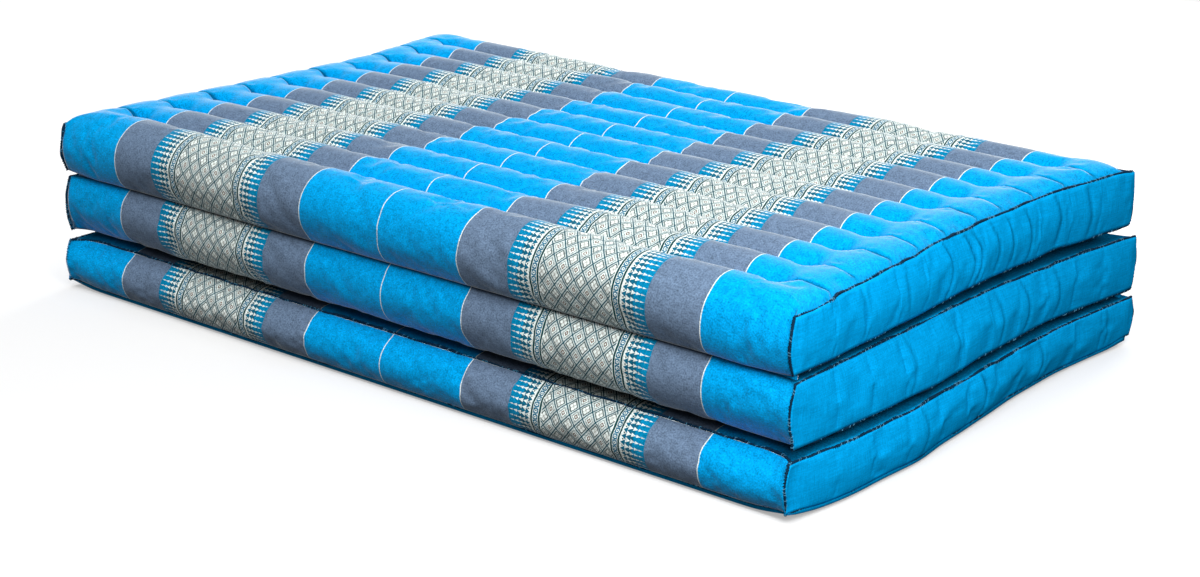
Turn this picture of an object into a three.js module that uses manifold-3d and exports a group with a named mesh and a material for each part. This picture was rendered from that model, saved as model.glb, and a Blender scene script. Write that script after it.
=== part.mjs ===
// Folding floor mattress, folded in three: one stuffed body of three channelled sections that turns
// back on itself at two sewn hinges, and the wall panels that are sewn round it.
// Millimetres. X runs along the sewn channels, Y from front to back, Z up.
import * as THREE from "three";
import { mergeVertices } from "three/addons/utils/BufferGeometryUtils.js";
import Module from "manifold-3d";

// Driving dimensions
const LENGTH = 1082; // between the sewn edges of the two ends
const DEPTH = 667; // one section from front to back, a third of the opened mattress
const ROLLS = 11; // stuffed channels in a section
const BORDER = 62; // from an end's sewn edge to where the channel stitching stops
const STITCH_SINK = 5; // how much deeper a channel's stitching sits where it stops
const END_ROUND = 50; // length over which a section swells from its sewn end edge
const SIDE_ROUND = 30; // length over which it swells from a sewn front or back edge
const END_BULGE = 7; // how far an end wall swells outwards
const CLOTH = 2; // thickness of a wall panel
const PANEL_GAP = 0.6; // between a wall panel and the stuffed body
const SEAM_LIP = 3; // raised seam allowance around a wall panel
const HINGE_CLOTH = 4; // thickness of the two cloths sewn together at a hinge
const HINGE_INSET = 6; // from the nominal front or back to a hinge's crease
const HINGE_BITE = 12; // how far a hinge reaches into the sections that it joins
const HINGE_SHORT = 6; // how far a hinge stops short of the sewn end edges
const DIMPLE_REACH = 20; // half length of the dimple where channel stitching stops

const PITCH = DEPTH / ROLLS;
const HALF_LENGTH = LENGTH / 2;
const HALF_DEPTH = DEPTH / 2;

// The sections from the floor up. Each height is [at the front, at the back].
// under, over: lowest and highest cloth; lowSeam, highSeam: sewn edges of the end walls;
// rise, pressed: height of the top's rolls and the share of a roll that lies flat under a load;
// drawIn, swing: how far the ends are pulled in at their middle, and how far they sway in plan, each
// [at the low edge, at the high edge];
// spread, shift: how many times DEPTH it lies under its load, and how far back its middle lies;
// shoulders: where a roll is faceted, as shares of its width;
// front, back: walls, a fold of the body or a sewn panel, with the insets of their low and high edges
// and how far they bulge.
const SECTIONS = [
  {
    name: "lower",
    under: [0, 0],
    lowSeam: [6, 6],
    highSeam: [60, 56],
    over: [66, 60],
    rise: 7,
    pressed: 0.7,
    drawIn: [0, 0],
    swing: [11, 8],
    spread: 1.034,
    shift: 10.5,
    shoulders: [0.15, 0.85],
    front: { kind: "panel", low: 2, high: 14, bulge: 17 },
    back: { kind: "fold", low: 22, high: 4, bulge: 24 },
  },
  {
    name: "middle",
    under: [68, 62],
    lowSeam: [75, 69],
    highSeam: [141, 131],
    over: [143, 136],
    rise: 7,
    pressed: 0.7,
    drawIn: [4, 17],
    swing: [8, 3],
    spread: 1.021,
    shift: 11,
    shoulders: [0.15, 0.85],
    front: { kind: "fold", low: 24, high: 4, bulge: 26 },
    back: { kind: "fold", low: 4, high: 22, bulge: 24 },
  },
  {
    name: "upper",
    under: [145, 138],
    lowSeam: [151, 150],
    highSeam: [209, 215],
    over: [226, 228],
    rise: 15,
    pressed: 0,
    drawIn: [15, 24],
    swing: [6, 5],
    spread: 1,
    shift: 0,
    shoulders: [0.15, 0.5, 0.85],
    front: { kind: "fold", low: 4, high: 22, bulge: 27 },
    back: { kind: "panel", low: 4, high: 8, bulge: 15 },
  },
];
const UNDERSIDE = { rise: 7, pressed: 0.7 }; // rolls of every lower face, which lie flat under the load
const CORNER = { edge: -6, bulge: 3 }; // a wall where it reaches the sewn end edge
const EDGE_FACET = 0.68; // where the half roll beside a front or back wall is faceted
const FOLD_ROUND = 0.6; // how far a folded wall is from an even rise (0) to half an ellipse (1)
const WALL_ROWS = 4; // facets up the height of a wall
const END_STEPS = [0, 12, 34, BORDER, 110]; // stations, as distances in from an end

const COLOURS = { face: "#1d93cf", underside: "#1787c4", endWall: "#1488c8", printedWall: "#7f93ab" };

const lerp = THREE.MathUtils.lerp;
const smooth = THREE.MathUtils.smoothstep;

// A section is worked out as if it were DEPTH deep round y = 0. Where its place y really lies, and back.
const spreadOut = (section, y) => y * section.spread + section.shift;
const ownPlace = (section, y) => (y - section.shift) / section.spread;

// Share of the way from front to back, 0 to 1, of a section's own place y.
const shareBack = (y) => (y + HALF_DEPTH) / DEPTH;

// A section's front-to-back height at y.
const heightAt = (pair, y) => lerp(pair[0], pair[1], THREE.MathUtils.clamp(shareBack(y), 0, 1));

// How full a section is at a distance from a sewn edge: 0 at the edge, 1 well inside.
function fullness(fromEdge, round = END_ROUND) {
  const short = THREE.MathUtils.clamp(1 - fromEdge / round, 0, 1);
  return Math.sqrt(1 - short * short);
}

// How full a section is beside a front or back wall: only a panel is sewn on along an edge.
function sideFullness(wall, side, inwards) {
  if (wall.kind === "fold") return 1;
  return fullness(inwards - (side === "over" ? wall.high : wall.low), SIDE_ROUND);
}

// Depth below the crest of a roll at a place across it, in pitches: an arc with a flat share.
function rollDrop(across, { rise, pressed }) {
  if (across <= 0.5 || across >= ROLLS - 0.5) return 0;
  const fromCrest = Math.abs(2 * (across - Math.floor(across)) - 1);
  const sloped = Math.max(0, (fromCrest - pressed) / (1 - pressed));
  return rise * (1 - Math.sqrt(1 - sloped * sloped));
}

// How far the channel stitching pulls the cloth in, by distance from an end: it stops in a dimple.
function stitchPull(fromEnd, rise) {
  const sewn = smooth(fromEnd, END_ROUND / 2, BORDER);
  const dimple = Math.exp(-(((fromEnd - BORDER) / DIMPLE_REACH) ** 2));
  return sewn * (1 + (STITCH_SINK / rise) * dimple);
}

// Height of a section's top or bottom face.
function faceHeight(section, side, y, fromEnd) {
  const upper = side === "over";
  const roll = upper ? section : UNDERSIDE;
  const seam = heightAt(upper ? section.highSeam : section.lowSeam, y);
  const crest = heightAt(section[side], y);
  const drop = rollDrop(shareBack(y) * ROLLS, roll) * stitchPull(fromEnd, roll.rise);
  const beside =
    sideFullness(section.front, side, HALF_DEPTH + y) * sideFullness(section.back, side, HALF_DEPTH - y);
  return lerp(seam, crest, fullness(fromEnd) * beside) + (upper ? -drop : drop);
}

// Distance inwards from the nominal front or back to a wall, at a share of the way up it.
function wallInset(wall, share, fromEnd) {
  const full = fullness(fromEnd);
  const edge = lerp(wall.low, wall.high, share);
  return lerp(CORNER.edge, edge, full) - lerp(CORNER.bulge, wall.bulge, full) * Math.sin(Math.PI * share);
}

// Height share of a wall row: a folded wall rounds into the faces, a sewn panel rises evenly.
const wallRise = (wall, share) =>
  wall.kind === "fold" ? lerp(share, (1 - Math.cos(Math.PI * share)) / 2, FOLD_ROUND) : share;

// Where an end lies in plan at a share of its height, pulled in and swaying from front to back.
function endReach(section, y, share) {
  const across = THREE.MathUtils.clamp(y / HALF_DEPTH, -1, 1);
  const pulled = lerp(...section.drawIn, share) * (1 - across * across);
  return HALF_LENGTH - pulled + lerp(...section.swing, share) * Math.sin(2 * Math.PI * shareBack(y));
}

// A point of a section, given as its distance in from one end (sign tells which) and its share of
// the section's height.
function place(section, sign, fromEnd, y, z, share) {
  const settle = 1 - smooth(fromEnd, 0, HALF_LENGTH);
  const reach = lerp(HALF_LENGTH, endReach(section, y, share), settle);
  return new THREE.Vector3(sign * (reach - fromEnd), spreadOut(section, y), z);
}

// Places from front to back where a face is faceted, at a distance from an end. The face is given
// as its share of the walls' height: 0 is the bottom, 1 is the top.
function rowPlaces(section, fromEnd, share) {
  const frontEdge = -HALF_DEPTH + wallInset(section.front, share, fromEnd);
  const backEdge = HALF_DEPTH - wallInset(section.back, share, fromEnd);
  const places = [frontEdge, lerp(frontEdge, -HALF_DEPTH + PITCH, EDGE_FACET)];
  for (let roll = 1; roll < ROLLS; roll++) {
    places.push(-HALF_DEPTH + roll * PITCH);
    if (roll < ROLLS - 1)
      for (const share of section.shoulders) places.push(-HALF_DEPTH + (roll + share) * PITCH);
  }
  places.push(lerp(backEdge, HALF_DEPTH - PITCH, EDGE_FACET), backEdge);
  return places;
}

// The closed outline of a section at one station: bottom, back wall, top and front wall in turn.
function outline(section, sign, fromEnd) {
  const at = (y, z, share) => place(section, sign, fromEnd, y, z, share);
  const face = (side, share) =>
    rowPlaces(section, fromEnd, share).map((y) => at(y, faceHeight(section, side, y, fromEnd), share));
  const bottom = face("under", 0);
  const top = face("over", 1);
  const wall = (side, low, high, facing) => {
    const points = [];
    for (let row = 1; row < WALL_ROWS; row++) {
      const share = row / WALL_ROWS;
      const y = facing * (HALF_DEPTH - wallInset(side, share, fromEnd));
      points.push(at(y, lerp(low.z, high.z, wallRise(side, share)), share));
    }
    return points;
  };
  const back = wall(section.back, bottom.at(-1), top.at(-1), 1);
  const front = wall(section.front, bottom[0], top[0], -1);
  return { bottom, top, back, front, loop: [...bottom, ...back, ...top.toReversed(), ...front.toReversed()] };
}

// A grid of points over an end, whose border is the outline there, swollen outwards in its middle.
function endGrid(section, { bottom, top, front, back }, sign) {
  const grid = [bottom];
  for (let row = 1; row < WALL_ROWS; row++) {
    const share = row / WALL_ROWS;
    const line = bottom.map((low, column) => {
      const point = low.clone().lerp(top[column], share);
      const inside = Math.sqrt(Math.max(0, Math.sin(Math.PI * shareBack(ownPlace(section, low.y)))));
      point.x += sign * END_BULGE * Math.sin(Math.PI * share) * inside;
      return point;
    });
    line[0] = front[row - 1];
    line[line.length - 1] = back[row - 1];
    grid.push(line);
  }
  grid.push(top);
  return grid;
}

// Collects triangles, and turns them into a geometry whose shared vertices are merged.
class Faces {
  corners = [];
  triangle(a, b, c) {
    for (const point of [a, b, c]) this.corners.push(point.x, point.y, point.z);
  }
  // A four-sided facet, split along the same diagonal whichever way it faces.
  quad(a, b, c, d, turned) {
    this.triangle(a, turned ? c : b, turned ? b : c);
    this.triangle(a, turned ? d : c, turned ? c : d);
  }
  // Joins two rows of points, closed on themselves or open.
  strip(first, second, closed, turned = false) {
    const count = first.length;
    for (let i = 0; i < (closed ? count : count - 1); i++) {
      const next = (i + 1) % count;
      this.quad(first[i], first[next], second[next], second[i], turned);
    }
  }
  grid(rows, turned) {
    for (let row = 1; row < rows.length; row++) this.strip(rows[row - 1], rows[row], false, turned);
  }
  geometry() {
    const made = new THREE.BufferGeometry();
    made.setAttribute("position", new THREE.Float32BufferAttribute(this.corners, 3));
    return mergeVertices(made, 1e-3);
  }
}

// The outlines of a section from its left end to its right end.
const sectionStations = (section) => [
  ...END_STEPS.map((step) => outline(section, -1, step)),
  ...END_STEPS.map((step) => outline(section, 1, step)).reverse(),
];

// One stuffed section, closed by its swollen end walls.
function sectionGeometry(section) {
  const stations = sectionStations(section);
  const faces = new Faces();
  for (let i = 1; i < stations.length; i++) faces.strip(stations[i - 1].loop, stations[i].loop, true);
  faces.grid(endGrid(section, stations[0], -1), true);
  faces.grid(endGrid(section, stations.at(-1), 1), false);
  return faces.geometry();
}

// A closed sheet between two grids of the same size; mirrored if it faces the other way.
function sheetGeometry(inner, outer, mirrored) {
  const faces = new Faces();
  const rim = (grid) => [
    ...grid[0],
    ...grid.slice(1, -1).map((row) => row.at(-1)),
    ...grid.at(-1).toReversed(),
    ...grid.slice(1, -1).map((row) => row[0]).toReversed(),
  ];
  faces.grid(outer, mirrored);
  faces.grid(inner, !mirrored);
  faces.strip(rim(inner), rim(outer), true, mirrored);
  return faces.geometry();
}

// A grid with one more row past its low and high edges, and columns past its sides if asked, for
// the raised seam allowance.
function withLips(grid, sides) {
  const moved = (point, y, z) => new THREE.Vector3(point.x, point.y + y, point.z + z);
  const rows = [
    grid[0].map((point) => moved(point, 0, -SEAM_LIP)),
    ...grid,
    grid.at(-1).map((point) => moved(point, 0, SEAM_LIP)),
  ];
  if (!sides) return rows;
  return rows.map((row) => [moved(row[0], -SEAM_LIP, 0), ...row, moved(row.at(-1), SEAM_LIP, 0)]);
}

// A wall panel's sheet, laid outside a grid of the body's own points along a direction.
function panelGeometry(grid, outwards, mirrored) {
  const layer = (offset) =>
    grid.map((row) => row.map((point) => point.clone().addScaledVector(outwards, offset)));
  return sheetGeometry(layer(PANEL_GAP), layer(PANEL_GAP + CLOTH), mirrored);
}

// The panel sewn over one end of a section.
function endPanelGeometry(section, sign) {
  const evenTop = { ...section, shoulders: [] };
  const grid = endGrid(section, outline(evenTop, sign, 0), sign);
  return panelGeometry(withLips(grid, true), new THREE.Vector3(sign, 0, 0), sign < 0);
}

// The panel sewn along the front or back of the mattress's first or last section.
function sidePanelGeometry(section, side, facing) {
  const columns = sectionStations(section).map(({ bottom, top, front, back }) =>
    side === "front" ? [bottom[0], ...front, top[0]] : [bottom.at(-1), ...back, top.at(-1)],
  );
  const grid = withLips(columns[0].map((_, row) => columns.map((column) => column[row])), false);
  const bodyOrder = facing < 0 ? grid.toReversed() : grid;
  return panelGeometry(bodyOrder, new THREE.Vector3(0, facing, 0), true);
}

// The strip of sewn cloth at a fold, which joins the walls of two sections where both reach.
function hingeGeometry(lower, upper, facing) {
  const end = facing < 0 ? 0 : 1;
  const bottom = lower.over[end] - HINGE_BITE;
  const top = upper.under[end] + HINGE_BITE;
  const crease = facing * (HALF_DEPTH - HINGE_INSET);
  const reach = Math.min(...[lower, upper].map((section) => facing * spreadOut(section, crease)));
  const strip = new THREE.BoxGeometry(LENGTH - 2 * HINGE_SHORT, HINGE_CLOTH, top - bottom);
  return strip.translate(0, facing * reach, (top + bottom) / 2);
}

const wasm = await Module();
wasm.setup();

function toSolid(geometry) {
  const bare = geometry.clone();
  bare.deleteAttribute("normal");
  bare.deleteAttribute("uv");
  const merged = mergeVertices(bare, 1e-3);
  return new wasm.Manifold(
    new wasm.Mesh({
      numProp: 3,
      vertProperties: merged.attributes.position.array,
      triVerts: new Uint32Array(merged.index.array),
    }),
  );
}

function toGeometry(solid) {
  const { vertProperties, triVerts } = solid.getMesh();
  const made = new THREE.BufferGeometry();
  made.setAttribute("position", new THREE.BufferAttribute(new Float32Array(vertProperties), 3));
  made.setIndex(new THREE.BufferAttribute(new Uint32Array(triVerts), 1));
  return made;
}

// The whole stuffed body: three sections joined at the front hinge and the back hinge.
function bodyGeometry() {
  const [lower, middle, upper] = SECTIONS;
  const pieces = [
    ...SECTIONS.map(sectionGeometry),
    hingeGeometry(lower, middle, 1),
    hingeGeometry(middle, upper, -1),
  ];
  return toGeometry(pieces.map(toSolid).reduce((joined, piece) => joined.add(piece)));
}

function addMesh(group, name, geometry, colour) {
  geometry.computeVertexNormals();
  const material = new THREE.MeshStandardMaterial({ color: colour, roughness: 0.9, metalness: 0 });
  const mesh = new THREE.Mesh(geometry, material);
  mesh.name = name;
  group.add(mesh);
}

const mattress = new THREE.Group();
addMesh(mattress, "stuffed_body", bodyGeometry(), COLOURS.face);
for (const section of SECTIONS) {
  addMesh(mattress, `end_panel_right_${section.name}`, endPanelGeometry(section, 1), COLOURS.endWall);
  addMesh(mattress, `end_panel_left_${section.name}`, endPanelGeometry(section, -1), COLOURS.endWall);
}
addMesh(mattress, "front_panel_lower", sidePanelGeometry(SECTIONS[0], "front", -1), COLOURS.printedWall);
addMesh(mattress, "back_panel_upper", sidePanelGeometry(SECTIONS[2], "back", 1), COLOURS.printedWall);

// The origin is the middle of the underside.
const box = new THREE.Box3().setFromObject(mattress);
const centre = box.getCenter(new THREE.Vector3());
for (const mesh of mattress.children) mesh.geometry.translate(-centre.x, -centre.y, -box.min.z);

export default mattress;
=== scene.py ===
"""A folding floor mattress, folded in three: its stuffed body, the panels sewn round its walls, their
overlocked seams, the stitching of its channels, and the stage it is shown on."""

from typing import NamedTuple

import bmesh
import bpy
import numpy as np
from bpy.props import (
    FloatProperty,
    FloatVectorProperty,
    IntProperty,
    PointerProperty,
)
from mathutils import Matrix, Vector


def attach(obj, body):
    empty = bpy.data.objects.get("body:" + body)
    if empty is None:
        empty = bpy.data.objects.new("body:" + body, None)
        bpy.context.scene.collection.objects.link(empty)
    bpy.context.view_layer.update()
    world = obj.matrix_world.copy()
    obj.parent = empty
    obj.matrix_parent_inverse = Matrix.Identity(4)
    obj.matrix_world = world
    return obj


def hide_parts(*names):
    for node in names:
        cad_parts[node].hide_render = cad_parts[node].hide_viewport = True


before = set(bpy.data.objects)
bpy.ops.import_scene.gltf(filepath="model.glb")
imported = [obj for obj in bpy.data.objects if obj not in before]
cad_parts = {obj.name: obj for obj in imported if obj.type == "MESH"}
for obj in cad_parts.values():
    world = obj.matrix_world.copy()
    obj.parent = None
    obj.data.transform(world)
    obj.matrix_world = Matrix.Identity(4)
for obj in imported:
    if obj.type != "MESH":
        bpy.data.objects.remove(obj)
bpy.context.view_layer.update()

bl_info = {
    "name": "Folding floor mattress",
    "version": (1, 0, 0),
    "blender": (4, 5, 0),
    "location": "View3D > Sidebar > Mattress",
    "description": "Builds a stuffed floor mattress that is folded in three",
    "category": "Object",
}

MM = 0.001


class Wall(NamedTuple):
    """A front or back wall: a fold of the body or a sewn panel. Insets and bulge in mm."""

    kind: str
    low: float
    high: float
    bulge: float


class Section(NamedTuple):
    """One stuffed layer. Heights in mm, each at the front and at the back; draw_in and swing are how its
    ends are pulled in and sway in plan, each at the low and at the high edge; spread is its depth under
    load, as a share of the nominal depth, and shift is how far back its middle lies."""

    name: str
    under: tuple
    low_seam: tuple
    high_seam: tuple
    over: tuple
    rise: float
    pressed: float
    draw_in: tuple
    swing: tuple
    spread: float
    shift: float
    columns: int
    front: Wall
    back: Wall


LOWER = Section(
    name="lower",
    under=(0, 0),
    low_seam=(6, 6),
    high_seam=(60, 56),
    over=(66, 60),
    rise=7,
    pressed=0.7,
    draw_in=(0, 0),
    swing=(11, 8),
    spread=1.034,
    shift=10.5,
    columns=8,
    front=Wall("panel", low=2, high=14, bulge=17),
    back=Wall("fold", low=22, high=4, bulge=24),
)
MIDDLE = Section(
    name="middle",
    under=(68, 62),
    low_seam=(75, 69),
    high_seam=(141, 131),
    over=(143, 136),
    rise=7,
    pressed=0.7,
    draw_in=(4, 17),
    swing=(8, 3),
    spread=1.021,
    shift=11,
    columns=8,
    front=Wall("fold", low=24, high=4, bulge=26),
    back=Wall("fold", low=4, high=22, bulge=24),
)
UPPER = Section(
    name="upper",
    under=(145, 138),
    low_seam=(151, 150),
    high_seam=(209, 215),
    over=(226, 228),
    rise=15,
    pressed=0.0,
    draw_in=(15, 24),
    swing=(6, 5),
    spread=1,
    shift=0,
    columns=16,
    front=Wall("fold", low=4, high=22, bulge=27),
    back=Wall("panel", low=4, high=8, bulge=15),
)
SECTIONS = (LOWER, MIDDLE, UPPER)
ENDS = {"left": -1, "right": 1}

UNDERSIDE_RISE, UNDERSIDE_PRESSED = 7, 0.7
CORNER_EDGE, CORNER_BULGE = -5, 6
CORNER_LIFT, CORNER_LIFT_REACH = 5, 30 * MM
FOLD_ROUND = 0.6
FIRST_ROLL_LOW = 1.5
WALL_ROWS = 18
BORDER_STATIONS, MIDDLE_STATIONS = 26, 150
BORDER_SPAN = 90 * MM
SETTLE_FRAMES = 20
CLUSTER = 0.6
SEAM_WANDER, REACH_WANDER = 1.6, 2.0
UNDER_LIP, UNDER_LIP_REACH = 8, 4 * MM
CAP_BACK = 5 * MM
PANEL_COLUMNS = 352
# Painted shade: width in mm of the dark line down a crease, the crease depth in mm that gets that line in
# full, and how far the colour is darkened in creases, in pits where channel stitching stops and in the gaps
# between sections.
SHADE_LINE_WIDTH, SHADE_FULL_DEPTH, FOLD_SHADE, PIT_SHADE, GAP_SHADE = 2.0, 3.0, 0.72, 0.4, 1.0


class Crease(NamedTuple):
    """A pleat down an end wall: mm from the front, depth and half width in mm, lean across its height."""

    section: str
    place: float
    depth: float
    half_width: float
    lean: float


CREASES = (
    Crease("upper", 112, 1.2, 5, 8),
    Crease("upper", 205, 1.4, 5, -6),
    Crease("upper", 285, 4.0, 5, 12),
    Crease("upper", 330, 4.5, 6, 14),
    Crease("upper", 347, 2.6, 4, 12),
    Crease("upper", 386, 2.2, 5, 10),
    Crease("upper", 420, 2.0, 5, 8),
    Crease("upper", 460, 2.6, 5, 8),
    Crease("upper", 523, 2.2, 6, 6),
    Crease("upper", 583, 2.0, 6, 4),
    Crease("middle", 190, 1.6, 6, 10),
    Crease("middle", 300, 1.2, 5, -8),
    Crease("middle", 381, 1.8, 6, 8),
    Crease("middle", 437, 2.2, 6, 10),
    Crease("middle", 505, 1.8, 6, 8),
    Crease("lower", 207, 1.6, 6, 8),
    Crease("lower", 336, 4.2, 6, 8),
    Crease("lower", 468, 1.8, 6, 8),
    Crease("lower", 615, 1.6, 6, 4),
)


def metres(label, about, value):
    """A length that can be set in the panel."""
    return FloatProperty(name=label, description=about, default=value, unit="LENGTH")


def watts(label, about, value):
    """A light's power that can be set in the panel."""
    return FloatProperty(name=label, description=about, default=value, min=0, unit="POWER")


def dye(label, about, value):
    """A colour that can be set in the panel."""
    return FloatVectorProperty(name=label, description=about, default=value, subtype="COLOR", min=0, max=1)


class MattressSizes(bpy.types.PropertyGroup):
    """Sizes of the stuffed body."""

    length: metres("Length", "Between the sewn end edges", 1.082)
    depth: metres("Depth", "One section, front to back", 0.667)
    rolls: IntProperty(name="Rolls", description="Stuffed channels in a section", default=11, min=2)
    border: metres("Border", "From an end to where channel stitching stops", 0.062)
    dimple: metres("Dimple", "Extra depth where channel stitching stops", 0.016)
    end_round: metres("End round", "Length over which an end swells", 0.05)
    side_round: metres("Side round", "Length over which a sewn front or back swells", 0.03)
    end_bulge: metres("End bulge", "How far an end wall swells", 0.007)
    offset: metres("Offset", "From the nominal middle to the frame's, front to back", -0.010072)


class MattressCloth(bpy.types.PropertyGroup):
    """Cloth, seams and thread."""

    pressure: FloatProperty(name="Pressure", description="Push of the stuffing", default=4.0, min=0)
    slack: FloatProperty(name="Slack", description="Spare cloth, as a share", default=0.006, min=0)
    most_move: metres("Most move", "How far the stuffing may push the cloth", 0.010)
    panel_gap: metres("Panel gap", "Between the body and a panel", 0.0006)
    panel: metres("Panel", "Thickness of a panel", 0.0016)
    seam: metres("Seam", "Half height of a seam's edge", 0.0015)
    seam_pitch: metres("Seam pitch", "Between overlock stitches", 0.0031)
    thread: metres("Thread", "Thread radius", 0.00045)
    stitch_pitch: metres("Stitch pitch", "Between channel stitches", 0.0065)
    blue: dye("Blue", "Plain bands", (0.001, 0.365, 0.80))
    grey: dye("Grey", "Grey bands", (0.15, 0.22, 0.33))
    cream: dye("Cream", "Light yarn", (0.82, 0.90, 0.87))
    teal: dye("Teal", "Ground of the borders", (0.002, 0.24, 0.46))
    ink: dye("Ink", "Dark yarn of the lattice", (0.012, 0.065, 0.07))
    brown: dye("Brown", "Brown yarn of the motifs", (0.16, 0.08, 0.05))
    end_blue: dye("End blue", "End panels and underside", (0.001, 0.36, 0.79))
    navy: dye("Navy", "Seam edges and dark thread", (0.003, 0.028, 0.065))
    # Partly a light thread, partly painted glints of light along the seams.
    pale_and_glint: dye("Pale", "Light thread", (0.08, 0.28, 0.44))


class MattressStage(bpy.types.PropertyGroup):
    """Floor, light and camera."""

    lens: FloatProperty(name="Lens", description="Focal length in mm", default=68.217)
    camera_place: FloatVectorProperty(
        name="Camera place", description="Where the camera stands", default=(1.66599, -2.01587, 0.89554),
        subtype="TRANSLATION",
    )
    sky: FloatProperty(name="Sky", description="Strength of the white surround", default=0.3, min=0)
    key: FloatProperty(name="Key", description="Strength of the wide light from above", default=2.05, min=0)
    spread: FloatProperty(
        name="Spread", description="Width of the light from above", default=1.1, subtype="ANGLE"
    )
    fill: watts("Fill", "Power of the light at the right", 11.0)
    rim: watts("Rim", "Power of the light from behind", 45.0)
    glow: FloatProperty(name="Glow", description="How white the floor looks by itself", default=0.37, min=0)
    floor: dye("Floor", "Floor colour that shows", (0.6, 0.6, 0.6))
    bounce: dye("Bounce", "Floor colour that lights the cloth", (0.08, 0.08, 0.08))


# Noise and small sums


def blend(first, second, share):
    return first + (second - first) * share


def ease(value, start, end):
    share = np.clip((value - start) / (end - start), 0, 1)
    return share * share * (3 - 2 * share)


LATTICE = np.random.default_rng(7).uniform(-1, 1, (48, 48, 48))


def lumps(points, size, seed=0):
    """Smooth noise from -1 to 1 with features of a size, at points of one to three columns."""
    cells = np.zeros((len(points), 3))
    cells[:, : points.shape[1]] = points / size
    cells += seed * 7.31
    base = np.floor(cells).astype(int)
    part = cells - base
    part = part * part * (3 - 2 * part)
    total = np.zeros(len(points))
    for corner in np.ndindex(2, 2, 2):
        weight = np.prod(np.where(corner, part, 1 - part), axis=1)
        total += weight * LATTICE[tuple(((base + corner) % 48).T)]
    return total


def columns(*values):
    return np.stack([np.ravel(value) for value in np.broadcast_arrays(*values)], axis=1)


# The stuffed body's form


def fullness(from_edge, length):
    """0 at a sewn edge, 1 well inside it."""
    short = np.clip(1 - from_edge / length, 0, 1)
    return np.sqrt(1 - short * short)


def height_at(pair, y, sizes):
    return MM * blend(pair[0], pair[1], np.clip(y / sizes.depth + 0.5, 0, 1))


def wall_inset(wall, share, from_end, sizes):
    full = fullness(from_end, sizes.end_round)
    edge = blend(wall.low, wall.high, share)
    return MM * (
        blend(CORNER_EDGE, edge, full) - blend(CORNER_BULGE, wall.bulge, full) * np.sin(np.pi * share)
    )


def wall_rise(wall, share, from_end, sizes):
    rounded = (1 - np.cos(np.pi * share)) / 2
    if wall.kind == "panel":
        return share + 0 * from_end
    return blend(share, rounded, FOLD_ROUND * fullness(from_end, sizes.end_round))


def wander(section, y, size, turn):
    """How a sewn edge strays along its length, from -1 to 1."""
    return lumps(columns(y), size, SECTIONS.index(section) + turn).reshape(np.shape(y))


def end_reach(section, y, share, sizes):
    """Where an end lies in plan at a share of its height."""
    across = np.clip(2 * y / sizes.depth, -1, 1)
    sway = blend(*section.swing, share) * np.sin(np.pi * (across + 1))
    sway = sway + REACH_WANDER * wander(section, y, 0.06, 30)
    return sizes.length / 2 + MM * (sway - blend(*section.draw_in, share) * (1 - across * across))


def under_lip(from_edge):
    """How far the underside is squeezed out past its seam by the floor."""
    share = np.clip(from_edge, 0, None) / UNDER_LIP_REACH
    return MM * UNDER_LIP * share * np.exp(1 - share)


def roll_drop(y, rise, pressed, sizes):
    """Depth below the crest of a roll, as a soft arch with a flat share."""
    across = (y / sizes.depth + 0.5) * sizes.rolls
    from_crest = np.abs(2 * (across - np.floor(across)) - 1)
    sloped = np.clip((from_crest - pressed) / (1 - pressed), 0, 1)
    drop = MM * rise * (1 - np.power(1 - sloped * sloped, 0.62))
    return np.where((across <= 0.5) | (across >= sizes.rolls - 0.5), 0, drop)


def face_height(section, side, y, from_end, sizes, puff):
    top = side == "over"
    rise, pressed = (section.rise, section.pressed) if top else (UNDERSIDE_RISE, UNDERSIDE_PRESSED)
    seam = height_at(section.high_seam if top else section.low_seam, y, sizes)
    crest = height_at(section.over if top else section.under, y, sizes)
    if section is LOWER and not top:
        from_side = sizes.depth / 2 - np.abs(y)
        seam = seam + MM * CORNER_LIFT * np.exp(-((from_side**2 + from_end**2) / CORNER_LIFT_REACH**2))
    seam = seam + MM * SEAM_WANDER * wander(section, y, 0.05, 40 if top else 50)
    full = fullness(from_end, sizes.end_round)
    for wall, inwards in ((section.front, sizes.depth / 2 + y), (section.back, sizes.depth / 2 - y)):
        if wall.kind == "panel":
            full = full * fullness(inwards - MM * (wall.high if top else wall.low), sizes.side_round)
    sewn = 0.12 * ease(from_end, 0, 0.35 * sizes.border)
    sewn = sewn + 0.88 * ease(from_end, 0.58 * sizes.border, sizes.border)
    dimple = sizes.dimple * np.exp(-(((from_end - sizes.border) / 0.011) ** 2))
    valley = roll_drop(y, rise, pressed, sizes)
    drop = valley * sewn * (1 + dimple / (MM * rise))
    if top and not section.pressed:
        crest = crest - (1 - puff) * MM * rise * full
        crest = crest - MM * FIRST_ROLL_LOW * (1 - ease(y + sizes.depth / 2, 0.025, 0.075))
    return blend(seam, crest, full) + (-drop if top else drop)


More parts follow.
